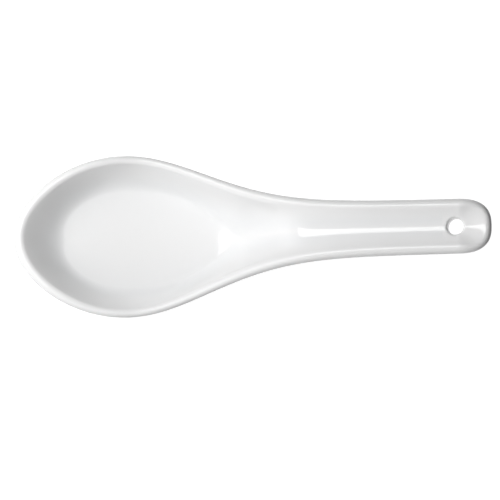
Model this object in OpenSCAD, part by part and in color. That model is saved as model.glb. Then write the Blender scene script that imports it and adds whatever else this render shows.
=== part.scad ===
// Chinese soup spoon: a glazed porcelain scoop with a channelled, rising handle.
// The tip points along -X and the handle along +X. The origin is on the underside of the foot,
// below the widest place of the bowl, and the spoon stands on Z = 0.

/* [Bowl] */
// Width of the bowl over its lip
bowl_w = 46.6; // [40:0.2:56]
// Tip of the bowl to its widest place
bowl_front_l = 32.2; // [28:0.2:40]
// How much the tip is drawn in from a plain oval, as a share of the half width
tip_draw_share = 0.1; // [0:0.01:0.16]
// Run over which the bowl narrows into the handle
neck_run = 32.6; // [29:0.2:36]
// Height of the lip at the tip
tip_rim_h = 11; // [9.6:0.1:13]
// Height of the lip at the widest place
bowl_rim_h = 13.2; // [12:0.1:16]
// Thickness of the bowl's floor, glaze included
floor_t = 3.2; // [2.4:0.1:4]
// Plan width of the inner wall at the widest place
bowl_wall_w = 7.2; // [6.8:0.1:9]
// Plan width of the inner wall at the tip
tip_wall_w = 11.8; // [9:0.1:11.8]
// Steepness of the wall under the lip at the widest place, in degrees
bowl_wall_angle = 64; // [56:1:68]
// Steepness of the wall under the lip at the tip, in degrees
tip_wall_angle = 34; // [30:1:40]
// Widest place of the bowl to the rear end of its flat floor
flat_rear_x = 33; // [30:0.5:36]
// Widest place of the bowl to the rear end of the flat underside
under_flat_rear_x = 38; // [35:0.5:42]
// How far the floor is dished, carried on to the lip
floor_dish = 1.3; // [0:0.1:1.6]
// Radius of the half round lip at the widest place of the bowl
bowl_lip_r = 1.3; // [1:0.05:1.6]
// Radius of the half round lip at the tip
tip_lip_r = 2; // [1.2:0.05:2.1]

/* [Neck] */
// Widest place of the bowl to the joint of bowl and handle
neck_x = 48; // [44:0.5:54]
// Height of the lip at the neck
neck_rim_h = 26.5; // [23:0.1:29]
// Climb of the lip at the neck, height over length
neck_rise_share = 0.28; // [0.2:0.01:0.4]
// Widest place of the bowl to the start of the floor's climb
climb_start_x = 24; // [20:0.5:26]
// Length of the floor's climb
climb_l = 28; // [26:0.5:34]
// Length of the underside's climb, which starts at the foot's rear end
under_climb_l = 26; // [24:0.5:32]
// Widest place of the bowl to where the walls begin to lie down into the channel
wall_turn_x = 34; // [30:0.5:38]
// Length over which the walls lie down
wall_turn_l = 20; // [16:0.5:26]

/* [Handle] */
// Length of the whole spoon, seen from above
spoon_l = 136.1; // [128:0.1:150]
// Width of the handle at the neck
handle_neck_w = 15.9; // [15:0.1:18]
// Width of the handle near its end
handle_end_w = 15.7; // [14.8:0.1:18]
// Height of the lip at the handle's end
end_rim_h = 38; // [34:0.5:43]
// Climb of the lip at the handle's end, height over length
end_rise_share = 0.23; // [0.1:0.01:0.3]
// Length of the rounded end
end_round_l = 10; // [8.6:0.1:12]
// Squareness of the rounded end: 2 is a plain oval
end_power_share = 2.6; // [2.2:0.1:4]
// How far the lip comes down at the open end, as a share of the channel's depth
end_open_share = 1; // [0.8:0.05:1.1]
// Steepness of the open end under its lip, in degrees
end_lip_angle = 12; // [8:1:20]
// Depth of the channel below the lip
channel_depth = 2; // [1.8:0.1:2.6]
// Thickness of the handle in the middle, glaze included
handle_t = 4; // [3:0.1:4.6]
// Steepness of the channel's side under the lip, in degrees
channel_side_angle = 34; // [28:1:42]
// Radius of the half round lip along the handle
handle_lip_r = 1.9; // [1.4:0.05:2.1]
// Radius of the half round lip round the open end
end_lip_r = 1.5; // [1.4:0.05:1.9]

/* [Hanging hole] */
// Bore of the hole, inside the glaze
hole_d = 4.6; // [3:0.1:5.4]
// Middle of the hole to the handle's end
hole_from_end = 10; // [9:0.1:14]

/* [Foot and glaze] */
// Height of the bare foot
foot_h = 0.8; // [0.6:0.1:1.4]
// Widest place of the bowl to the rear end of the foot
foot_rear_x = 27.5; // [24:0.5:29]
// Width of the foot, as a share of the flat under the bowl
foot_share = 0.86; // [0.6:0.01:0.95]
// Thickness of the coat of glaze
glaze_t = 0.3; // [0.2:0.05:0.4]

/* [Hidden] */
// Named overrun of every cut
cut_over = 1;
// How much wider the wall is outside than inside
outer_wall_extra = 0.8;
// The wall may take this share of what lies inside the lip
wall_limit_share = 0.88;
// How far the front end of the bowl's middle line goes towards the tip's own centre
middle_front_share = 0.84;
// How the flat narrows behind the widest place: late at first, then in one smooth run
flat_late_share = 3;
flat_run_share = 1.5;
// Fineness: places along the bowl's front, the foot's rear half, the neck, the handle and its end
front_count = 13;
foot_count = 7;
neck_count = 7;
handle_count = 8;
end_count = 8;
// Fineness of a section: steps up a wall and round the lip
wall_steps = 7;
lip_steps = 6;

bowl_r = bowl_w / 2;
end_x = spoon_l - bowl_front_l;
end_round_x = end_x - end_round_l;
hole_x = end_x - hole_from_end;
// Radius of the outline at the tip
tip_r = pow(bowl_r * (1 - tip_draw_share), 2) / bowl_front_l;
middle_front = middle_front_share * (bowl_front_l - tip_r);
glazed_floor_z = foot_h - glaze_t + floor_t;
glazed_under_z = foot_h - glaze_t;

function mix(a, b, share) = a + (b - a) * share;
// Curve from height a to height b over the length l, with the climb at each end
function curve(share, l, a, b, climb_a, climb_b) =
    a * (1 + 2 * share) * pow(1 - share, 2) + climb_a * l * share * pow(1 - share, 2)
    + b * share * share * (3 - 2 * share) + climb_b * l * share * share * (share - 1);
function soft_step(share) =
    let (s = min(1, max(0, share)))
    s * s * s * (10 - 15 * s + 6 * s * s);
// 1 at the widest place of the bowl, falling to 0 along the handle
function bowl_part(x) = x < 0 ? 1 : exp(-pow(x / neck_run, 2));
// 0 at the widest place of the bowl, growing to 1 at the tip
function tip_part(x) = x < 0 ? pow(x / bowl_front_l, 2) : 0;

function rim_z(x) =
    x < 0 ? mix(bowl_rim_h, tip_rim_h, tip_part(x))
    : x < neck_x ? curve(x / neck_x, neck_x, bowl_rim_h, neck_rim_h, 0, neck_rise_share)
    : curve((x - neck_x) / (end_x - neck_x), end_x - neck_x,
            neck_rim_h, end_rim_h, neck_rise_share, end_rise_share);
function floor_z(x) =
    mix(glazed_floor_z, rim_z(x) - channel_depth, soft_step((x - climb_start_x) / climb_l));
function under_z(x) =
    mix(glazed_under_z, rim_z(x) - channel_depth - handle_t,
        soft_step((x - foot_rear_x) / under_climb_l));
function handle_half_w(x) = mix(handle_neck_w, handle_end_w, (x - neck_x) / (end_round_x - neck_x)) / 2;
function half_w(x) = mix(handle_half_w(x), bowl_r, bowl_part(x));
function lip_r(x) = mix(handle_lip_r, mix(bowl_lip_r, tip_lip_r, tip_part(x)), bowl_part(x));
function wall_angle(x) =
    mix(mix(bowl_wall_angle, tip_wall_angle, tip_part(x)), channel_side_angle,
        soft_step((x - wall_turn_x) / wall_turn_l));
// Half width of the flat at the widest place, out to the foot of the inner wall and of the outer one
lip_reach = bowl_lip_r * sin(bowl_wall_angle);
inner_flat = bowl_r - bowl_lip_r - lip_reach - bowl_wall_w;
outer_flat = bowl_r - bowl_lip_r + lip_reach - bowl_wall_w - outer_wall_extra;
function flat_at(x, flat, rear_x) =
    flat * pow(1 - pow(min(1, x / rear_x), flat_late_share), flat_run_share);
// Plan width of a wall, from the flat to its top at the given distance from the middle line
function wall_w(rib, top, extra, flat, rear_x) =
    rib[0] > 0 ? top - flat_at(rib[0], flat, rear_x)
    : min(mix(bowl_wall_w, tip_wall_w, pow(tip_part(rib[1]), 2)) + extra, wall_limit_share * top);

// A rib is [x on the middle line, x on the outline, y on the outline]
function front_rib(angle) =
    [-middle_front * cos(angle), -bowl_front_l * cos(angle),
     bowl_r * sin(angle) * (1 - tip_draw_share * pow(cos(angle), 2))];
function straight_rib(x) = [x, x, half_w(x)];
function end_rib(angle) =
    let (half = half_w(end_round_x),
         reach = pow(pow(cos(angle) / end_round_l, end_power_share)
                     + pow(sin(angle) / half, end_power_share), -1 / end_power_share))
    [end_round_x, end_round_x + reach * cos(angle), reach * sin(angle)];

foot_end = front_count + foot_count;
neck = foot_end + neck_count;
handle_end = neck + handle_count;
last = handle_end + end_count;
ribs = [
    for (i = [0 : front_count - 1]) front_rib(90 * i / front_count),
    for (i = [0 : foot_count - 1]) straight_rib(foot_rear_x * sin(90 * i / foot_count)),
    for (i = [0 : neck_count - 1]) straight_rib(mix(foot_rear_x, neck_x, i / neck_count)),
    for (i = [0 : handle_count - 1]) straight_rib(mix(neck_x, end_round_x, i / handle_count)),
    for (i = [0 : end_count]) end_rib(90 - 90 * i / end_count)
];

// Height up a wall, from 0 at its foot to 1 under the lip, where it has the given climb
function wall_rise(share, climb) = share * share * (3 - climb + (climb - 2) * share);
function foot_reach(x, flat) =
    x < foot_rear_x ? foot_share * flat * sqrt(1 - pow(max(0, x) / foot_rear_x, 2)) : 0;

// Places up a wall, as distances from the middle line: the first lies clear of the middle
function wall_places(top, w) =
    let (start = max(top - w, (1 - wall_limit_share) * top))
    [for (i = [0 : wall_steps]) mix(start, top, i / wall_steps)];

// One section along a rib, as [distance from the middle line, height], from the middle of the inside
// round the lip to the middle of the underside
function section(rib) =
    let (run = norm([rib[1] - rib[0], rib[2]]),
         lean = (rib[1] - rib[0]) / run,
         opened = rib[0] < end_round_x ? 0 : lean * lean,
         r = mix(lip_r(rib[1]), end_lip_r, opened),
         angle = mix(wall_angle(rib[1]), end_lip_angle, opened),
         lip = [run - r, rim_z(rib[1]) - end_open_share * channel_depth * opened - r],
         inner = lip + r * [-sin(angle), cos(angle)],
         outer = lip + r * [sin(angle), -cos(angle)],
         dish = floor_dish * bowl_part(rib[1]),
         inner_w = wall_w(rib, inner[0], 0, inner_flat, flat_rear_x),
         outer_w = wall_w(rib, outer[0], outer_wall_extra, outer_flat, under_flat_rear_x),
         inner_h = inner[1] - floor_z(rib[0] + lean * inner[0]) - dish,
         outer_h = outer[1] - under_z(rib[0] + lean * outer[0]),
         inner_climb = tan(angle) * inner_w / inner_h,
         outer_climb = tan(angle) * outer_w / outer_h,
         under_places = wall_places(outer[0], outer_w))
    [
        [0, floor_z(rib[0])],
        for (out = wall_places(inner[0], inner_w))
            let (share = max(0, 1 - (inner[0] - out) / inner_w),
                 low = floor_z(rib[0] + lean * out) + dish * pow(out / inner[0], 2))
            [out, low + (inner[1] - low) * wall_rise(share, inner_climb)],
        for (i = [1 : lip_steps - 1])
            let (turn = angle + 90 - 180 * i / lip_steps)
            lip + r * [cos(turn), sin(turn)],
        for (i = [wall_steps : -1 : 0])
            let (out = under_places[i],
                 share = max(0, 1 - (outer[0] - out) / outer_w),
                 low = under_z(rib[0] + lean * out))
            [out, low + (outer[1] - low) * wall_rise(share, outer_climb)],
        [foot_reach(rib[0], outer[0] - outer_w), under_z(rib[0])],
        [0, under_z(rib[0])]
    ];
steps = 2 * wall_steps + lip_steps + 3;

// The section drawn in by the depth of the coat
function unit(v) = v / norm(v);
function drawn_in(points, depth) =
    [for (i = [0 : steps])
        i == 0 ? points[i] - [0, depth]
        : i >= steps - 1 ? points[i] + [0, depth]
        : let (along = unit(points[i + 1] - points[i - 1]))
          points[i] + depth * [along[1], -along[0]]];

function placed(rib, point, side) =
    let (run = norm([rib[1] - rib[0], rib[2]]))
    [rib[0] + (rib[1] - rib[0]) * point[0] / run, side * rib[2] * point[0] / run, point[1]];
// Every point of one surface, the left side first and then the right
function shell_points(depth) =
    let (sections = [for (rib = ribs) drawn_in(section(rib), depth)])
    [for (side = [1, -1]) for (r = [0 : last]) for (i = [0 : steps]) placed(ribs[r], sections[r][i], side)];

// Number of a point, the same for points that both sides, or several ribs, share
function point_id(r, i, side) =
    let (step = i == steps - 1 && r >= foot_end ? steps : i,
         middle = step == 0 || step == steps,
         rib = middle ? min(r, handle_end) : r,
         half = middle || rib == 0 || rib == last ? 0 : side)
    (half * (last + 1) + rib) * (steps + 1) + step;
all_ids = 2 * (last + 1) * (steps + 1);

function whole(faces) = [for (f = faces) if (f[0] != f[1] && f[1] != f[2] && f[2] != f[0]) f];
function turned(faces, turn) = turn ? [for (f = faces) [f[2], f[1], f[0]]] : faces;
function shifted(faces, shift) = [for (f = faces) [f[0] + shift, f[1] + shift, f[2] + shift]];
function patch(a, b, c, d) = [[a, c, b], [a, d, c]];
// Faces of the surface between two ribs, as far as the given step of their sections
function skin(from, to, last_step) =
    whole([for (side = [0, 1]) for (r = [from : to - 1]) for (i = [0 : last_step - 1])
        let (a = point_id(r, i, side), b = point_id(r + 1, i, side),
             c = point_id(r + 1, i + 1, side), d = point_id(r, i + 1, side))
        each turned(i == steps - 1 ? patch(b, c, d, a) : patch(a, b, c, d), side == 1)]);
// Flat end of a solid body at a rib
function flat_end(r) =
    whole([for (side = [0, 1]) for (i = [0 : floor(steps / 2) - 1])
        each turned(patch(point_id(r, i, side), point_id(r, i + 1, side),
                          point_id(r, steps - i - 1, side), point_id(r, steps - i, side)), side == 1)]);
// Flat end of the coat at a rib, between the two surfaces
function coat_end(r) =
    whole([for (side = [0, 1]) for (i = [0 : steps - 2])
        each turned(patch(point_id(r, i, side), point_id(r, i + 1, side),
                          point_id(r, i + 1, side) + all_ids, point_id(r, i, side) + all_ids), side == 1)]);
// Edge of the coat round the foot
foot_edge =
    whole([for (side = [0, 1]) for (r = [0 : foot_end - 1])
        let (a = point_id(r, steps - 1, side), b = point_id(r + 1, steps - 1, side))
        each turned(patch(a, b, b + all_ids, a + all_ids), side == 1)]);

module body(depth, from, to, ends) {
    polyhedron(points = shell_points(depth), faces = concat(skin(from, to, steps), ends), convexity = 6);
}

module coat(from, to, ends) {
    polyhedron(
        points = concat(shell_points(0), shell_points(glaze_t)),
        faces = concat(
            skin(from, to, steps - 1),
            shifted(turned(skin(from, to, steps - 1), true), all_ids),
            ends
        ),
        convexity = 8
    );
}

// Stands a rod on the middle of the hanging hole, square to the channel
module at_hole() {
    climb = atan2(floor_z(hole_x + hole_d) - floor_z(hole_x - hole_d), 2 * hole_d);
    translate([hole_x, 0, (floor_z(hole_x) + under_z(hole_x)) / 2])
        rotate([0, -climb, 0])
            children();
}

module hole_rod(r) {
    at_hole()
        cylinder(h = 2 * (handle_t + cut_over), r = r, center = true, $fn = 64);
}

module bowl() {
    color("whitesmoke")
        body(glaze_t, 0, neck, turned(flat_end(neck), true));
}

module handle() {
    color("whitesmoke")
        difference() {
            body(glaze_t, neck, last, flat_end(neck));
            hole_rod(hole_d / 2 + glaze_t);
        }
}

module foot() {
    outline = [for (side = [1, -1]) for (k = [0 : foot_end])
        let (r = side == 1 ? k : foot_end - k,
             p = placed(ribs[r], section(ribs[r])[steps - 1], side))
        if (side == 1 || (r > 0 && r < foot_end)) [p[0], p[1]]];
    color("linen")
        linear_extrude(height = foot_h)
            polygon(outline);
}

module bowl_glaze() {
    color("white")
        coat(0, neck, concat(turned(coat_end(neck), true), foot_edge));
}

module handle_glaze() {
    color("white")
        difference() {
            coat(neck, last, coat_end(neck));
            hole_rod(hole_d / 2 + glaze_t);
        }
}

module hole_glaze() {
    color("white")
        difference() {
            intersection() {
                body(0, neck, last, flat_end(neck));
                hole_rod(hole_d / 2 + glaze_t);
            }
            hole_rod(hole_d / 2);
        }
}

bowl();
handle();
foot();
bowl_glaze();
handle_glaze();
hole_glaze();
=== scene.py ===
import math

import bpy
import numpy as np
from mathutils import Matrix, Vector


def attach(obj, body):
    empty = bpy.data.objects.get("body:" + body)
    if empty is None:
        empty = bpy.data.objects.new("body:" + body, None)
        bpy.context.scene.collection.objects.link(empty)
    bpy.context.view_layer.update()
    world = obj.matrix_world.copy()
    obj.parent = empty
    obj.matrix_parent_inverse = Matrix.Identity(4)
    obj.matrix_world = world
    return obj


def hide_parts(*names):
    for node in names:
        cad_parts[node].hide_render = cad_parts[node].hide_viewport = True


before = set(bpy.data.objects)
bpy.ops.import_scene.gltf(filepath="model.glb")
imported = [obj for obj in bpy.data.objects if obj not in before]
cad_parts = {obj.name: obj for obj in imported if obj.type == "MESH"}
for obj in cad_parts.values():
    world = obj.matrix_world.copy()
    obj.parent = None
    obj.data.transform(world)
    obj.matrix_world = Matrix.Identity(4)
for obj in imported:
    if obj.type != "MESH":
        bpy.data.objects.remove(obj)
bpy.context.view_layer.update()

print("frame loaded:", sorted(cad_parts))


# Sizes in millimetres and degrees, the same as the part's.
bowl = {
    "width": 46.6,            # over the lip
    "front": 32.2,            # tip to the widest place
    "tipDraw": 0.1,           # how much the tip is drawn in from an oval
    "middleShare": 0.84,      # how far the ribs' middle goes towards the tip's own centre
    "neckRun": 32.6,          # run over which the bowl narrows
    "tipRim": 11.0,
    "rim": 13.2,
    "floorThickness": 3.2,
    "wallWidth": 7.2,
    "tipWallWidth": 11.8,
    "outerExtra": 0.8,        # how much wider the wall is outside
    "wallLimit": 0.88,        # most of the way to the middle that a wall may take
    "wallAngle": 64.0,
    "tipWallAngle": 34.0,
    "flatRear": 33.0,         # widest place to where the flat floor has narrowed to nothing
    "underFlatRear": 38.0,
    "flatStart": 3,           # powers that shape how the flat floor narrows
    "flatPoint": 1.5,
    "dish": 1.3,              # how far the floor is dished, carried on to the lip
    "lipRadius": 1.3,
    "tipLipRadius": 2.0,
}
neck = {
    "place": 48.0,            # where bowl and handle meet
    "rim": 26.5,
    "rise": 0.28,
    "climbStart": 24.0,
    "climb": 28.0,
    "underClimb": 26.0,
    "angleStart": 34.0,       # where the walls begin to lie down into the channel
    "angleRun": 20.0,
}
handle = {
    "spoonLength": 136.1,
    "neckWidth": 15.9,
    "endWidth": 15.7,
    "endRim": 38.0,
    "endRise": 0.23,
    "endRound": 10.0,
    "endPower": 2.6,          # 2 is an ellipse, more is squarer
    "endOpen": 1.0,           # how far the lip comes down to the channel at the end
    "endAngle": 12.0,
    "channelDepth": 2.0,
    "thickness": 4.0,
    "sideAngle": 34.0,
    "lipRadius": 1.9,
    "endLipRadius": 1.5,
}
hole = {
    "radius": 2.3,
    "fromEnd": 10.0,
    "topRound": 0.8,          # soft edge of the glaze on the channel's side
    "underRound": 0.35,
    "blockAhead": 4.4,        # how much of the rib mesh the round patch takes the place of
    "blockShare": 0.8,
    "crowding": 1.3,          # draws the patch's rings together towards the hole
    "searchTurns": 6,
}
foot = {
    "height": 0.8,
    "rear": 27.5,
    "share": 0.86,
    "edgeRound": 0.25,
    "edgeSteps": 6,
    "drawIn": 0.03,
    "topGap": 0.025,          # how far the pad reaches up past its height, short of the body
    "flatRing": 0.1,          # how far the flat face's ring lies towards its middle
}
glaze = {
    "thickness": 0.3,
    "drawIn": 0.05,           # keeps the smooth surface inside the faceted part
    "bodyGap": 0.03,
    "gatherPlace": 0.25,      # where on the wall's way up most glaze has gathered
    "gatherSpread": 0.35,
}
fineness = {
    "front": 56, "foot": 30, "neck": 30, "handle": 46, "end": 40,
    "flat": 8, "wall": 26, "lip": 20, "patch": 10, "round": 8, "bore": 4,
}
perMetre = 1000
tiny = 1e-12
quarter = math.pi / 2

bowlRadius = bowl["width"] / 2
endX = handle["spoonLength"] - bowl["front"]
roundX = endX - handle["endRound"]
holeX = endX - hole["fromEnd"]
middleFront = bowl["middleShare"] * (
    bowl["front"] - (bowlRadius * (1 - bowl["tipDraw"])) ** 2 / bowl["front"])
floorLevel = foot["height"] - glaze["thickness"] + bowl["floorThickness"]
underLevel = foot["height"] - glaze["thickness"]


def mixed(a, b, share):
    return a + (b - a) * share


def riseCurve(share, length, a, b, climbA, climbB):
    return (a * (1 + 2 * share) * (1 - share) ** 2 + climbA * length * share * (1 - share) ** 2
            + b * share ** 2 * (3 - 2 * share) + climbB * length * share ** 2 * (share - 1))


def softStep(share):
    s = np.clip(share, 0, 1)
    return s ** 3 * (10 - 15 * s + 6 * s * s)


def bowlShare(x):
    return np.where(x < 0, 1.0, np.exp(-(x / bowl["neckRun"]) ** 2))


def tipShare(x):
    return np.where(x < 0, (x / bowl["front"]) ** 2, 0.0)


def alongSpoon(x, atTip, atBowl, atHandle):
    return mixed(atHandle, mixed(atBowl, atTip, tipShare(x)), bowlShare(x))


def rimHeight(x):
    front = mixed(bowl["rim"], bowl["tipRim"], tipShare(x))
    middle = riseCurve(x / neck["place"], neck["place"], bowl["rim"], neck["rim"], 0, neck["rise"])
    run = endX - neck["place"]
    rear = riseCurve((x - neck["place"]) / run, run, neck["rim"], handle["endRim"],
                     neck["rise"], handle["endRise"])
    return np.where(x < 0, front, np.where(x < neck["place"], middle, rear))


def floorHeight(x):
    return mixed(floorLevel, rimHeight(x) - handle["channelDepth"],
                 softStep((x - neck["climbStart"]) / neck["climb"]))


def underHeight(x):
    return mixed(underLevel, rimHeight(x) - handle["channelDepth"] - handle["thickness"],
                 softStep((x - foot["rear"]) / neck["underClimb"]))


def halfWidth(x):
    plain = mixed(handle["neckWidth"], handle["endWidth"],
                  (x - neck["place"]) / (roundX - neck["place"])) / 2
    return mixed(plain, bowlRadius, bowlShare(x))


# A rib is x on the middle line, x on the outline and y on the outline.
def frontRibs(angles):
    c, s = np.cos(angles), np.sin(angles)
    return np.stack([-middleFront * c, -bowl["front"] * c,
                     bowlRadius * s * (1 - bowl["tipDraw"] * c * c)], -1)


def straightRibs(x):
    return np.stack([x, x, halfWidth(x)], -1)


def endRibs(angles):
    c, s = np.abs(np.cos(angles)), np.abs(np.sin(angles))
    p = handle["endPower"]
    reach = ((c / handle["endRound"]) ** p + (s / halfWidth(np.array(roundX))) ** p) ** (-1 / p)
    return np.stack([np.full_like(reach, roundX), roundX + reach * c, reach * s], -1)


def allRibs():
    steps = {name: np.arange(count) / count for name, count in fineness.items()}
    return np.concatenate([
        frontRibs(quarter * steps["front"]),
        straightRibs(foot["rear"] * np.sin(quarter * steps["foot"])),
        straightRibs(mixed(foot["rear"], neck["place"], steps["neck"])),
        straightRibs(mixed(neck["place"], roundX, steps["handle"])),
        endRibs(quarter * (1 - np.append(steps["end"], 1))),
    ])


footEnd = fineness["front"] + fineness["foot"]
neckRib = footEnd + fineness["neck"]
handleEnd = neckRib + fineness["handle"]
lastRib = handleEnd + fineness["end"]
flatCount, wallCount, lipCount = fineness["flat"], fineness["wall"], fineness["lip"]
lastStep = 2 * (flatCount + wallCount) + lipCount + 1


def wallRise(share, climb):
    # rises flat at first and reaches 1 with the slope climb
    return share ** 2 * (3 - climb + (climb - 2) * share)


def ribWalls(ribs):
    # where the lip, the inner wall and the outer wall of each rib lie
    middle, outX, outY = ribs[..., 0], ribs[..., 1], ribs[..., 2]
    run = np.hypot(outX - middle, outY)
    lean = (outX - middle) / run
    opened = np.where(middle < roundX, 0, lean ** 2)
    r = mixed(alongSpoon(outX, bowl["tipLipRadius"], bowl["lipRadius"], handle["lipRadius"]),
              handle["endLipRadius"], opened)
    angle = mixed(mixed(bowl["wallAngle"], bowl["tipWallAngle"], tipShare(outX)),
                  handle["sideAngle"], softStep((outX - neck["angleStart"]) / neck["angleRun"]))
    angle = np.radians(mixed(angle, handle["endAngle"], opened))
    rim = rimHeight(outX) - handle["endOpen"] * handle["channelDepth"] * opened
    lip = np.stack([run - r, rim - r], -1)
    across = np.stack([-np.sin(angle), np.cos(angle)], -1) * r[..., None]
    inner, outer = lip + across, lip - across
    width = mixed(bowl["wallWidth"], bowl["tipWallWidth"], tipShare(outX) ** 2)
    lipAcross = bowl["lipRadius"] * math.sin(math.radians(bowl["wallAngle"]))
    flatThere = bowlRadius - bowl["lipRadius"] - bowl["wallWidth"]

    def wallWidth(top, extra, rear, side):
        front = np.minimum(width + extra, bowl["wallLimit"] * top)
        left = (1 - np.clip(middle / rear, 0, 1) ** bowl["flatStart"]) ** bowl["flatPoint"]
        flat = (flatThere - extra + side * lipAcross) * left
        return np.where(middle <= 0, front, top - flat)

    innerWidth = wallWidth(inner[..., 0], 0, bowl["flatRear"], -1)
    outerWidth = wallWidth(outer[..., 0], bowl["outerExtra"], bowl["underFlatRear"], 1)
    dish = bowl["dish"] * bowlShare(outX) * np.ones_like(run)
    innerTall = inner[..., 1] - floorHeight(middle + lean * inner[..., 0]) - dish
    outerTall = outer[..., 1] - underHeight(middle + lean * outer[..., 0])
    return {
        "middle": middle, "lean": lean, "r": r, "angle": angle, "lip": lip,
        "inside": (inner, innerWidth, np.tan(angle) * innerWidth / innerTall, floorHeight, dish),
        "under": (outer, outerWidth, np.tan(angle) * outerWidth / outerTall, underHeight, 0),
    }


def wallHeight(walls, face, out):
    top, width, climb, level, dish = walls[face]
    low = level(walls["middle"] + walls["lean"] * out) + dish * (out / top[..., 0]) ** 2
    share = np.clip((out - top[..., 0] + width) / width, 0, 1)
    return low + (top[..., 1] - low) * wallRise(share, climb)


def ribSections(ribs):
    walls = ribWalls(ribs)
    points = np.zeros((len(ribs), lastStep + 1, 2))

    def put(face, index, out):
        points[:, index, 0] = out
        points[:, index, 1] = wallHeight(walls, face, out)

    ahead = np.clip(walls["middle"] / foot["rear"], 0, 1)
    for face, first, way, share in (("inside", 0, 1, 0),
                                    ("under", lastStep - 1, -1, foot["share"])):
        top, width = walls[face][:2]
        flat = top[..., 0] - width
        reach = share * flat * np.sqrt(1 - ahead ** 2)
        start = np.maximum(flat, (1 - bowl["wallLimit"]) * top[..., 0])
        for i in range(flatCount):
            put(face, first + way * i, mixed(reach, start, i / flatCount))
        for i in range(wallCount + 1):
            put(face, first + way * (flatCount + i), mixed(start, top[..., 0], i / wallCount))
    for i in range(1, lipCount):
        turn = walls["angle"] + quarter - math.pi * i / lipCount
        points[:, flatCount + wallCount + i] = walls["lip"] + walls["r"][:, None] * np.stack(
            [np.cos(turn), np.sin(turn)], -1)
    points[:, lastStep] = np.stack([np.zeros(len(ribs)), underHeight(walls["middle"])], -1)
    return points


def drawnIn(points, depth):
    # the sections moved into the wall by depth
    moved = points.copy()
    chord = points[:, 2:] - points[:, :-2]
    chord /= np.linalg.norm(chord, axis=-1, keepdims=True)
    moved[:, 1:-1] += depth * np.stack([chord[..., 1], -chord[..., 0]], -1)
    moved[:, 0] = points[:, 0] - [0, depth]
    moved[:, -2:] = points[:, -2:] + [0, depth]
    return moved


def placed(ribs, points):
    # the sections stood up on their ribs
    share = points[..., 0] / np.hypot(ribs[:, 1] - ribs[:, 0], ribs[:, 2])[:, None]
    x = ribs[:, :1] + (ribs[:, 1] - ribs[:, 0])[:, None] * share
    return np.stack([x, ribs[:, 2:] * share, points[..., 1]], -1)


# Numbers of the grid's points: both sides share the middle, and so do the ribs of the round end.
def gridNumbers():
    number = np.zeros((2, lastRib + 1, lastStep + 1), int)
    count = 0
    known = {}
    for side in (0, 1):
        for r in range(lastRib + 1):
            for i in range(lastStep + 1):
                step = lastStep if i == lastStep - 1 and r >= footEnd else i
                middle = step in (0, lastStep)
                key = (0 if middle or r in (0, lastRib) else side,
                       min(r, handleEnd) if middle else r, step)
                if key not in known:
                    known[key] = count
                    count += 1
                number[side, r, i] = known[key]
    return number, count


ribs = allRibs()
sections = ribSections(ribs)
numbers, gridCount = gridNumbers()
blockRib = int(np.searchsorted(ribs[:handleEnd, 0], holeX - hole["blockAhead"]))
blockStep = flatCount + int(round(wallCount * hole["blockShare"]))
nearHole = holeX + 2 * hole["radius"] * np.array([-1, 0, 1])
floorNear, underNear = floorHeight(nearHole), underHeight(nearHole)
tilt = math.atan2(floorNear[2] - floorNear[0], nearHole[2] - nearHole[0])
holeAxis = np.array([-math.sin(tilt), 0, math.cos(tilt)])
holeAlong = np.array([math.cos(tilt), 0, math.sin(tilt)])
holeMiddle = np.array([holeX, 0, (floorNear[1] + underNear[1]) / 2])
print("ribs:", len(ribs), "steps:", lastStep, "hole's tilt:", round(math.degrees(tilt), 2))


def heightAt(face, x, y, depth):
    # height of the handle's inside or underside at any place near the hole
    ahead = x > roundX
    spin = np.arctan2(np.abs(y), np.maximum(x - roundX, tiny))
    rib = np.where(ahead[..., None], endRibs(np.where(ahead, spin, quarter)),
                   straightRibs(np.minimum(x, roundX)))
    out = np.where(ahead, np.hypot(x - roundX, y), np.abs(y))
    return wallHeight(ribWalls(rib), face, out) + (-depth if face == "inside" else depth)


def onSurface(face, spin, radius, depth):
    # points round the hole's axis, moved along it on to the surface
    base = holeMiddle + radius[..., None] * (np.cos(spin)[..., None] * holeAlong
                                             + np.sin(spin)[..., None] * np.array([0, 1, 0]))
    rise = np.zeros(spin.shape)
    for turn in range(hole["searchTurns"]):
        p = base + rise[..., None] * holeAxis
        rise = rise + (heightAt(face, p[..., 0], p[..., 1], depth) - p[..., 2]) * holeAxis[2]
    return base + rise[..., None] * holeAxis


def holePatch(points, depth, radius):
    # rings from the channel's side through the hole to the underside, for the left half
    rings = []
    for face in ("inside", "under"):
        index = (lambda i: i) if face == "inside" else (lambda i: lastStep - 1 - i)
        edge = [points[blockRib, index(i)] for i in range(blockStep + 1)]
        edge += [points[r, index(blockStep)] for r in range(blockRib + 1, lastRib + 1)]
        edge = np.array(edge)
        away = edge - holeMiddle
        a, b = away @ holeAlong, away[:, 1]
        edgeSpin, edgeRadius = np.arctan2(b, a), np.hypot(a, b)
        evenSpin = math.pi * (1 - np.arange(len(edge)) / (len(edge) - 1))
        soft = hole["topRound"] if face == "inside" else hole["underRound"]
        soft = min(soft, soft - depth + glaze["drawIn"])
        way = -1 if face == "inside" else 1
        made = []
        for j in range(1, fineness["patch"] + 1):
            share = (1 - j / fineness["patch"]) ** hole["crowding"]
            made.append(onSurface(face, mixed(evenSpin, edgeSpin, share),
                                  mixed(radius + soft, edgeRadius, share), depth))
        for j in range(1, fineness["round"] + 1):
            turn = quarter * (1 - j / fineness["round"])
            r = radius + soft * (1 - math.cos(turn))
            made.append(onSurface(face, evenSpin, np.full(len(edge), r), depth)
                        + way * soft * (1 - math.sin(turn)) * holeAxis)
        rings.append(made)
    top, under = rings
    bore = [mixed(top[-1], under[-1], k / fineness["bore"]) for k in range(1, fineness["bore"])]
    grid = np.array(top + bore + under[::-1])
    grid[:, [0, -1], 1] = 0
    return grid


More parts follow.
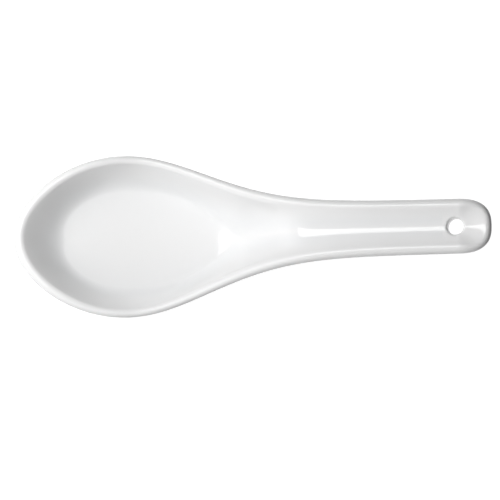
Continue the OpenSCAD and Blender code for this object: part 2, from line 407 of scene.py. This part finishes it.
def quad(a, b, c, d, flip):
    # a face without its doubled corners, or nothing if it has no area
    corners = [a, b, c, d] if not flip else [d, c, b, a]
    kept = [c for i, c in enumerate(corners) if c != corners[i - 1]]
    return tuple(kept) if len(set(kept)) == len(kept) and len(kept) > 2 else None


def spoonSheet(depth, radius):
    # one unbroken sheet over the whole spoon, drawn in by depth: points, and faces by region
    points = placed(ribs, drawnIn(sections, depth))
    place = np.zeros((gridCount, 3))
    for side, sign in ((1, -1), (0, 1)):
        place[numbers[side].ravel()] = (points * [1, sign, 1]).reshape(-1, 3)
    faces = {"bowl": [], "handle": [], "under": []}
    for side in (0, 1):
        n = numbers[side]
        for r in range(lastRib):
            for i in range(lastStep):
                if r >= blockRib and (i < blockStep or i > lastStep - 2 - blockStep):
                    continue
                face = quad(n[r, i], n[r + 1, i], n[r + 1, i + 1], n[r, i + 1], side == 1)
                if face is None:
                    continue
                region = "under" if i == lastStep - 1 else ("bowl" if r < neckRib else "handle")
                faces[region].append(face)
    grid = holePatch(points, depth, radius)
    rows, across = grid.shape[:2]
    edges = []
    for side in (0, 1):
        n = numbers[side]
        for index in (lambda i: i, lambda i: lastStep - 1 - i):
            edges.append([n[blockRib, index(i)] for i in range(blockStep + 1)]
                         + [n[r, index(blockStep)] for r in range(blockRib + 1, lastRib + 1)])
    left = gridCount + np.arange(rows * across).reshape(rows, across)
    right = left + rows * across
    right[:, [0, -1]] = left[:, [0, -1]]
    place = np.concatenate([place, grid.reshape(-1, 3), (grid * [1, -1, 1]).reshape(-1, 3)])
    for side, own in ((0, left), (1, right)):
        full = np.vstack([edges[2 * side], own, edges[2 * side + 1]])
        for j in range(rows + 1):
            for m in range(across - 1):
                face = quad(full[j, m], full[j + 1, m], full[j + 1, m + 1], full[j, m + 1],
                            side == 1)
                if face:
                    faces["handle"].append(face)
    return place, faces


def strip(first, second, flip=False):
    # faces between two rows of point numbers
    made = [quad(first[k], first[k + 1], second[k + 1], second[k], flip)
            for k in range(len(first) - 1)]
    return [f for f in made if f]


def pointNormals(place, faces):
    # each face counts by its angle at the point
    normals = np.zeros_like(place)
    for count in (3, 4):
        group = np.array([f for f in faces if len(f) == count])
        if not len(group):
            continue
        p = place[group]
        for k in range(count):
            back, ahead = p[:, k - 1] - p[:, k], p[:, (k + 1) % count] - p[:, k]
            cross = np.cross(ahead, back)
            size = np.linalg.norm(cross, axis=1)
            angle = np.arctan2(size, (back * ahead).sum(1))
            np.add.at(normals, group[:, k], cross * (angle / np.maximum(size, tiny))[:, None])
    return normals / np.maximum(np.linalg.norm(normals, axis=1, keepdims=True), tiny)


def makePiece(name, place, faces, normals, nodes, material, pooled=None):
    used = np.unique(np.concatenate([np.array(f) for f in faces]))
    new = -np.ones(len(place), int)
    new[used] = np.arange(len(used))
    mesh = bpy.data.meshes.new(name)
    mesh.from_pydata((place[used] / perMetre).tolist(), [],
                     [[int(new[v]) for v in f] for f in faces])
    mesh.polygons.foreach_set("use_smooth", [True] * len(mesh.polygons))
    if pooled is not None:
        layer = mesh.attributes.new("pooled", "FLOAT", "POINT")
        layer.data.foreach_set("value", pooled[used].astype(np.float32))
    mesh.materials.append(material)
    mesh.update()
    if normals is not None:
        mesh.normals_split_custom_set_from_vertices(normals[used].tolist())
    piece = bpy.data.objects.new(name, mesh)
    bpy.context.scene.collection.objects.link(piece)
    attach(piece, "root")
    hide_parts(*nodes)
    print("made", name, len(used), "points", len(faces), "faces")


def newGroup(name, inputs, outputs):
    group = bpy.data.node_groups.new(name, "ShaderNodeTree")
    for label, kind, value in inputs:
        group.interface.new_socket(label, in_out="INPUT", socket_type=kind).default_value = value
    for label, kind in outputs:
        group.interface.new_socket(label, in_out="OUTPUT", socket_type=kind)
    return group, group.nodes.new("NodeGroupInput"), group.nodes.new("NodeGroupOutput")


def addNode(tree, kind, values=(), links=(), **settings):
    node = tree.nodes.new(kind)
    for name, value in settings.items():
        setattr(node, name, value)
    for name, value in dict(values).items():
        node.inputs[name].default_value = value
    for name, source in dict(links).items():
        tree.links.new(source, node.inputs[name])
    return node


def mixColours(tree, share, first, second):
    # each colour is a socket or a plain value
    node = addNode(tree, "ShaderNodeMix", links={"Factor": share}, data_type="RGBA")
    sockets = [s for s in node.inputs if s.type == "RGBA"]
    for socket, colour in zip(sockets, (first, second)):
        if isinstance(colour, tuple):
            socket.default_value = colour
        else:
            tree.links.new(colour, socket)
    return next(s for s in node.outputs if s.type == "RGBA")


clayGrain = {
    "cloudDetail": 3.0,
    "cloudRoughness": 0.5,
    "grainDetail": 4.0,
    "grainRoughness": 0.6,
    "speckScale": 420.0,
    "speckCore": 0.03,        # a speck is solid up to here and gone at its edge
    "speckEdge": 0.12,
}


def clayGroup():
    # fine unevenness of fired clay: its colour, and slow clouds and fine grain from 0 to 1
    colour, number = "NodeSocketColor", "NodeSocketFloat"
    group, given, out = newGroup(
        "firedClay",
        [("Colour", colour, (0.85, 0.85, 0.84, 1)), ("Cloud Colour", colour, (0.8, 0.8, 0.79, 1)),
         ("Speck Colour", colour, (0.5, 0.45, 0.4, 1)), ("Cloud Size", number, 60.0),
         ("Grain Size", number, 900.0), ("Speck Share", number, 0.02)],
        [("Colour", colour), ("Clouds", number), ("Grain", number)])
    where = addNode(group, "ShaderNodeTexCoord").outputs["Object"]
    clouds = addNode(group, "ShaderNodeTexNoise",
                     {"Detail": clayGrain["cloudDetail"], "Roughness": clayGrain["cloudRoughness"]},
                     {"Vector": where, "Scale": given.outputs["Cloud Size"]})
    grain = addNode(group, "ShaderNodeTexNoise",
                    {"Detail": clayGrain["grainDetail"], "Roughness": clayGrain["grainRoughness"]},
                    {"Vector": where, "Scale": given.outputs["Grain Size"]})
    specks = addNode(group, "ShaderNodeTexVoronoi",
                     {"Scale": clayGrain["speckScale"], "Randomness": 1.0}, {"Vector": where})
    pick = addNode(group, "ShaderNodeSeparateColor", links={"Color": specks.outputs["Color"]})
    chosen = addNode(group, "ShaderNodeMath",
                     links={0: pick.outputs["Red"], 1: given.outputs["Speck Share"]},
                     operation="LESS_THAN")
    near = addNode(group, "ShaderNodeMapRange",
                   {"From Min": clayGrain["speckCore"], "From Max": clayGrain["speckEdge"],
                    "To Min": 1.0, "To Max": 0.0},
                   {"Value": specks.outputs["Distance"]})
    speck = addNode(group, "ShaderNodeMath", links={0: chosen.outputs[0], 1: near.outputs[0]},
                    operation="MULTIPLY")
    cloudy = mixColours(group, clouds.outputs["Fac"], given.outputs["Colour"],
                        given.outputs["Cloud Colour"])
    spotted = mixColours(group, speck.outputs[0], cloudy, given.outputs["Speck Colour"])
    group.links.new(spotted, out.inputs["Colour"])
    group.links.new(grain.outputs["Fac"], out.inputs["Grain"])
    group.links.new(clouds.outputs["Fac"], out.inputs["Clouds"])
    return group


firedClay = clayGroup()


def newMaterial(name):
    material = bpy.data.materials.new(name)
    material.use_nodes = True
    material.node_tree.nodes.clear()
    return material, material.node_tree


def placeGroup(tree, group, values):
    node = tree.nodes.new("ShaderNodeGroup")
    node.node_tree = group
    for name, value in values.items():
        node.inputs[name].default_value = value
    return node


def shaderOut(tree, shader):
    out = tree.nodes.new("ShaderNodeOutputMaterial")
    tree.links.new(shader.outputs[0], out.inputs["Surface"])


glazeLook = {
    "colour": (0.82, 0.82, 0.82, 1),
    "cloudColour": (0.81, 0.81, 0.81, 1),
    "speckColour": (0.6, 0.57, 0.53, 1),
    "pooledColour": (0.78, 0.785, 0.79, 1),
    "cloudSize": 45.0,
    "grainSize": 700.0,
    "speckShare": 0.004,
    "roughness": (0.3, 0.4),
    "bodyIOR": 1.45,
    "bodySpecular": 0.2,
    "coatRoughness": 0.025,
    "coatIOR": 1.5,
    "peel": 0.00001,          # depth in metres of the coat's orange peel
    "peelScale": 160.0,
    "peelDetail": 2.0,
    "peelRoughness": 0.4,
}
bodyLook = {
    "name": "porcelainBody",
    "colour": (0.82, 0.81, 0.79, 1),
    "cloudColour": (0.78, 0.77, 0.75, 1),
    "speckColour": (0.42, 0.37, 0.31, 1),
    "cloudSize": 130.0,
    "grainSize": 2600.0,
    "grainDepth": 0.00002,
    "speckShare": 0.01,
    "roughness": (0.5, 0.65),
    "specular": 0.35,
}
footLook = {
    **bodyLook,
    "name": "bareFoot",
    "colour": (0.74, 0.72, 0.68, 1),
    "cloudColour": (0.66, 0.64, 0.6, 1),
    "grainDepth": 0.00006,
    "speckShare": 0.05,
    "roughness": (0.75, 0.92),
}


def placeClay(tree, look):
    return placeGroup(tree, firedClay, {
        "Colour": look["colour"], "Cloud Colour": look["cloudColour"],
        "Speck Colour": look["speckColour"], "Cloud Size": look["cloudSize"],
        "Grain Size": look["grainSize"], "Speck Share": look["speckShare"]})


def bumped(tree, height, depth):
    return addNode(tree, "ShaderNodeBump", {"Strength": 1.0, "Distance": depth},
                   {"Height": height}).outputs[0]


def roughened(tree, value, limits):
    return addNode(tree, "ShaderNodeMapRange", {"To Min": limits[0], "To Max": limits[1]},
                   {"Value": value}).outputs[0]


def glazeMaterial(look):
    material, tree = newMaterial("glossGlaze")
    clay = placeClay(tree, look)
    pooled = addNode(tree, "ShaderNodeAttribute", attribute_name="pooled")
    tone = mixColours(tree, pooled.outputs["Fac"], clay.outputs["Colour"], look["pooledColour"])
    where = addNode(tree, "ShaderNodeTexCoord").outputs["Object"]
    peel = addNode(tree, "ShaderNodeTexNoise",
                   {"Scale": look["peelScale"], "Detail": look["peelDetail"],
                    "Roughness": look["peelRoughness"]}, {"Vector": where})
    bump = bumped(tree, peel.outputs["Fac"], look["peel"])
    rough = roughened(tree, clay.outputs["Grain"], look["roughness"])
    shader = addNode(tree, "ShaderNodeBsdfPrincipled",
                     {"Coat Weight": 1.0, "Coat Roughness": look["coatRoughness"],
                      "Coat IOR": look["coatIOR"], "IOR": look["bodyIOR"],
                      "Specular IOR Level": look["bodySpecular"]},
                     {"Base Color": tone, "Roughness": rough, "Coat Normal": bump, "Normal": bump})
    shaderOut(tree, shader)
    return material


def clayMaterial(look):
    material, tree = newMaterial(look["name"])
    clay = placeClay(tree, look)
    bump = bumped(tree, clay.outputs["Grain"], look["grainDepth"])
    rough = roughened(tree, clay.outputs["Clouds"], look["roughness"])
    shader = addNode(tree, "ShaderNodeBsdfPrincipled", {"Specular IOR Level": look["specular"]},
                     {"Base Color": clay.outputs["Colour"], "Roughness": rough, "Normal": bump})
    shaderOut(tree, shader)
    return material


glossGlaze = glazeMaterial(glazeLook)
whiteBody = clayMaterial(bodyLook)
bareClay = clayMaterial(footLook)
print("materials made")


# The coat of glaze is an outer and an inner sheet, joined at the neck and round the foot.
outPlace, outFaces = spoonSheet(glaze["drawIn"], hole["radius"])
inPlace, inFaces = spoonSheet(glaze["thickness"], hole["radius"] + glaze["thickness"])
sheetCount = len(outPlace)
coatPlace = np.concatenate([outPlace, inPlace])


def turnedIn(faces):
    return [tuple(v + sheetCount for v in reversed(f)) for f in faces]


footLoop = [numbers[0, r, lastStep - 1] for r in range(footEnd + 1)]
footLoop += [numbers[1, r, lastStep - 1] for r in range(footEnd - 1, -1, -1)]
footEdge = strip(footLoop, [v + sheetCount for v in footLoop])
neckLoop = np.concatenate([numbers[0, neckRib, :lastStep], numbers[1, neckRib, :lastStep][::-1]])
neckEdge = strip(neckLoop, [v + sheetCount for v in neckLoop])
bowlCoat = outFaces["bowl"] + turnedIn(inFaces["bowl"]) + footEdge
handleCoat = outFaces["handle"] + turnedIn(inFaces["handle"])
coatNormals = pointNormals(coatPlace, bowlCoat + handleCoat)

# How much glaze gathers: most at the foot of each wall, least on the lip.
upTheWall = (np.arange(lastStep + 1) - flatCount) / wallCount
gather = np.exp(-((upTheWall - glaze["gatherPlace"]) / glaze["gatherSpread"]) ** 2)
pooledGrid = np.zeros(len(coatPlace))
for side in (0, 1):
    pooledGrid[numbers[side].ravel()] = np.tile(gather, lastRib + 1)

makePiece("bowlGlaze", coatPlace, bowlCoat + neckEdge, coatNormals,
          ["bowl_glaze"], glossGlaze, pooledGrid)
makePiece("handleGlaze", coatPlace, handleCoat + [tuple(reversed(f)) for f in neckEdge],
          coatNormals, ["handle_glaze", "hole_glaze"], glossGlaze, pooledGrid)

# The porcelain under the glaze, cut at the neck.
bodyDepth = glaze["thickness"] + glaze["bodyGap"]
bodyPlace, bodyFaces = spoonSheet(bodyDepth, hole["radius"] + bodyDepth)
halfSteps = lastStep // 2 + 1
leftEnd, rightEnd = numbers[0, neckRib], numbers[1, neckRib]
neckCap = (strip(leftEnd[:halfSteps], leftEnd[::-1][:halfSteps])
           + strip(rightEnd[:halfSteps], rightEnd[::-1][:halfSteps], True))
makePiece("bowlBody", bodyPlace, bodyFaces["bowl"] + bodyFaces["under"] + neckCap,
          None, ["bowl"], whiteBody)
makePiece("handleBody", bodyPlace, bodyFaces["handle"] + [tuple(reversed(f)) for f in neckCap],
          None, ["handle"], whiteBody)


def footPiece():
    # the pad as rings from the middle of its top, down its side, to the middle of its underside
    outline = placed(ribs, sections)[:footEnd + 1, lastStep - 1, :2]
    loop = np.concatenate([outline, (outline * [1, -1])[-2:0:-1]])
    ahead = np.roll(loop, -1, 0) - np.roll(loop, 1, 0)
    ahead /= np.linalg.norm(ahead, axis=1, keepdims=True)
    inward = np.stack([ahead[:, 1], -ahead[:, 0]], -1)
    centre = np.array([(foot["rear"] - middleFront) / 2, 0])
    inward *= np.sign(((centre - loop) * inward).sum(1))[:, None]
    side = np.sign(loop[:, 1])
    top = foot["height"] + foot["topGap"]
    r, drawIn, flatRing = foot["edgeRound"], foot["drawIn"], foot["flatRing"]
    edge = [(drawIn + r * (1 - math.cos(turn)), r * (1 - math.sin(turn)), 0)
            for turn in np.linspace(0, quarter, foot["edgeSteps"])]
    rings = []
    for inset, z, share in ([(drawIn, top, flatRing), (drawIn, top, 0),
                             (drawIn, (r + top) / 2, 0)]
                            + edge + [(drawIn + r, 0.0, flatRing)]):
        ring = loop + inward * inset
        ring[:, 1] = side * np.maximum(side * ring[:, 1], 0)
        rings.append(np.column_stack([mixed(ring, centre, share), np.full(len(loop), z)]))
    place = np.concatenate(rings + [[[*centre, top], [*centre, 0.0]]])
    count = len(loop)
    last = (len(rings) - 1) * count
    faces = []
    for k in range(count):
        n = (k + 1) % count
        faces += [(j + k, j + count + k, j + count + n, j + n) for j in range(0, last, count)]
        faces.append((len(place) - 2, k, n))
        faces.append((len(place) - 1, last + n, last + k))
    return place, faces


footPlace, footFaces = footPiece()
makePiece("foot", footPlace, footFaces, pointNormals(footPlace, footFaces),
          ["foot"], bareClay)

# The white floor, a hair below the foot. Lengths from here on are in metres.
floorLook = {
    "size": 6.0,
    "drop": 0.00002,
    "tone": (0.25, 0.25, 0.25, 1),
    "glow": 0.95,             # with the light it takes, this makes it white in the picture
}
white = (1, 1, 1, 1)


def seenRays(tree):
    # 1 for what the camera sees, straight or in a mirror or through glass, and 0 for soft light
    path = addNode(tree, "ShaderNodeLightPath")
    seen = path.outputs["Is Camera Ray"]
    for name in ("Is Glossy Ray", "Is Transmission Ray"):
        seen = addNode(tree, "ShaderNodeMath", links={0: seen, 1: path.outputs[name]},
                       operation="MAXIMUM").outputs[0]
    return seen


def makeFloor():
    mesh = bpy.data.meshes.new("floor")
    h = floorLook["size"] / 2
    z = -floorLook["drop"]
    mesh.from_pydata([(-h, -h, z), (h, -h, z), (h, h, z), (-h, h, z)], [], [(0, 1, 2, 3)])
    floor = bpy.data.objects.new("floor", mesh)
    bpy.context.scene.collection.objects.link(floor)
    material, tree = newMaterial("paleFloor")
    diffuse = addNode(tree, "ShaderNodeBsdfDiffuse", {"Color": floorLook["tone"]})
    glow = addNode(tree, "ShaderNodeEmission", {"Color": white, "Strength": floorLook["glow"]})
    both = addNode(tree, "ShaderNodeAddShader", links={0: diffuse.outputs[0], 1: glow.outputs[0]})
    chosen = addNode(tree, "ShaderNodeMixShader",
                     links={0: seenRays(tree), 1: diffuse.outputs[0], 2: both.outputs[0]})
    shaderOut(tree, chosen)
    mesh.materials.append(material)


makeFloor()

view = {
    "aim": (0.03557, -0.00431, 0.014),
    "distance": 1.5,
    "elevation": 84.5,
    "roll": -0.5,
    "framed": 0.143,          # across the picture at the aim
    "sensor": 36.0,           # millimetres
    "clip": (0.05, 30.0),
}


def makeCamera():
    data = bpy.data.cameras.new("camera")
    data.sensor_width = view["sensor"]
    data.lens = view["sensor"] * view["distance"] / view["framed"]
    data.clip_start, data.clip_end = view["clip"]
    camera = bpy.data.objects.new("camera", data)
    e, roll = math.radians(view["elevation"]), math.radians(view["roll"])
    back = Vector((0, -math.cos(e), math.sin(e)))
    right = Vector((1, 0, 0))
    up = back.cross(right)
    turnedRight = right * math.cos(roll) + up * math.sin(roll)
    turnedUp = up * math.cos(roll) - right * math.sin(roll)
    stand = Matrix.Translation(Vector(view["aim"]) + back * view["distance"])
    camera.matrix_world = stand @ Matrix((turnedRight, turnedUp, back)).transposed().to_4x4()
    bpy.context.scene.collection.objects.link(camera)
    bpy.context.scene.camera = camera


makeCamera()

# The long softbox at the left, narrower at its far end, makes the glaze's crisp highlights.
softbox = {
    "corners": [(-0.2, 0.08, 1.0), (-1.0, 0.08, 1.0), (-0.95, 0.23, 1.0), (-0.2, 0.43, 1.0)],
    "radiance": 6.0,
}


def makeSoftbox():
    mesh = bpy.data.meshes.new("softbox")
    mesh.from_pydata(softbox["corners"], [], [(0, 1, 2, 3)])
    panel = bpy.data.objects.new("softbox", mesh)
    bpy.context.scene.collection.objects.link(panel)
    material, tree = newMaterial("softboxCloth")
    shaderOut(tree, addNode(tree, "ShaderNodeEmission",
                            {"Color": white, "Strength": softbox["radiance"]}))
    mesh.materials.append(material)


makeSoftbox()

# Soft round lamps about the spoon: turn from +x and height in degrees, and power in watts.
lampTarget = (0.03, 0.0, 0.01)
lamps = {
    "left": {"turn": 180.0, "height": 50.0, "distance": 0.7, "size": 0.38, "power": 2.5},
    "front": {"turn": 246.0, "height": 30.0, "distance": 0.7, "size": 0.35, "power": 1.35},
    "back": {"turn": 90.0, "height": 30.0, "distance": 0.7, "size": 0.35, "power": 0.13},
    "near": {"turn": 152.0, "height": 36.0, "distance": 0.32, "size": 0.14, "power": 0.3},
}


def makeLamp(name):
    values = lamps[name]
    turn, height = math.radians(values["turn"]), math.radians(values["height"])
    way = Vector((math.cos(turn) * math.cos(height), math.sin(turn) * math.cos(height),
                  math.sin(height)))
    data = bpy.data.lights.new(name + "Lamp", "AREA")
    data.shape = "DISK"
    data.size = values["size"]
    data.energy = values["power"]
    lamp = bpy.data.objects.new(name + "Lamp", data)
    lamp.location = Vector(lampTarget) + way * values["distance"]
    lamp.rotation_euler = way.to_track_quat("Z", "Y").to_euler()
    lamp.visible_glossy = False     # the glaze mirrors the softbox and the white walls only
    bpy.context.scene.collection.objects.link(lamp)


for lampName in lamps:
    makeLamp(lampName)


def makeWorld():
    world = bpy.data.worlds.new("studioWalls")
    bpy.context.scene.world = world
    world.use_nodes = True
    tree = world.node_tree
    tree.nodes.clear()
    walls = addNode(tree, "ShaderNodeBackground", {"Color": white}, {"Strength": seenRays(tree)})
    out = tree.nodes.new("ShaderNodeOutputWorld")
    tree.links.new(walls.outputs[0], out.inputs["Surface"])


makeWorld()
bpy.context.scene.view_settings.view_transform = "Standard"
print("studio made")
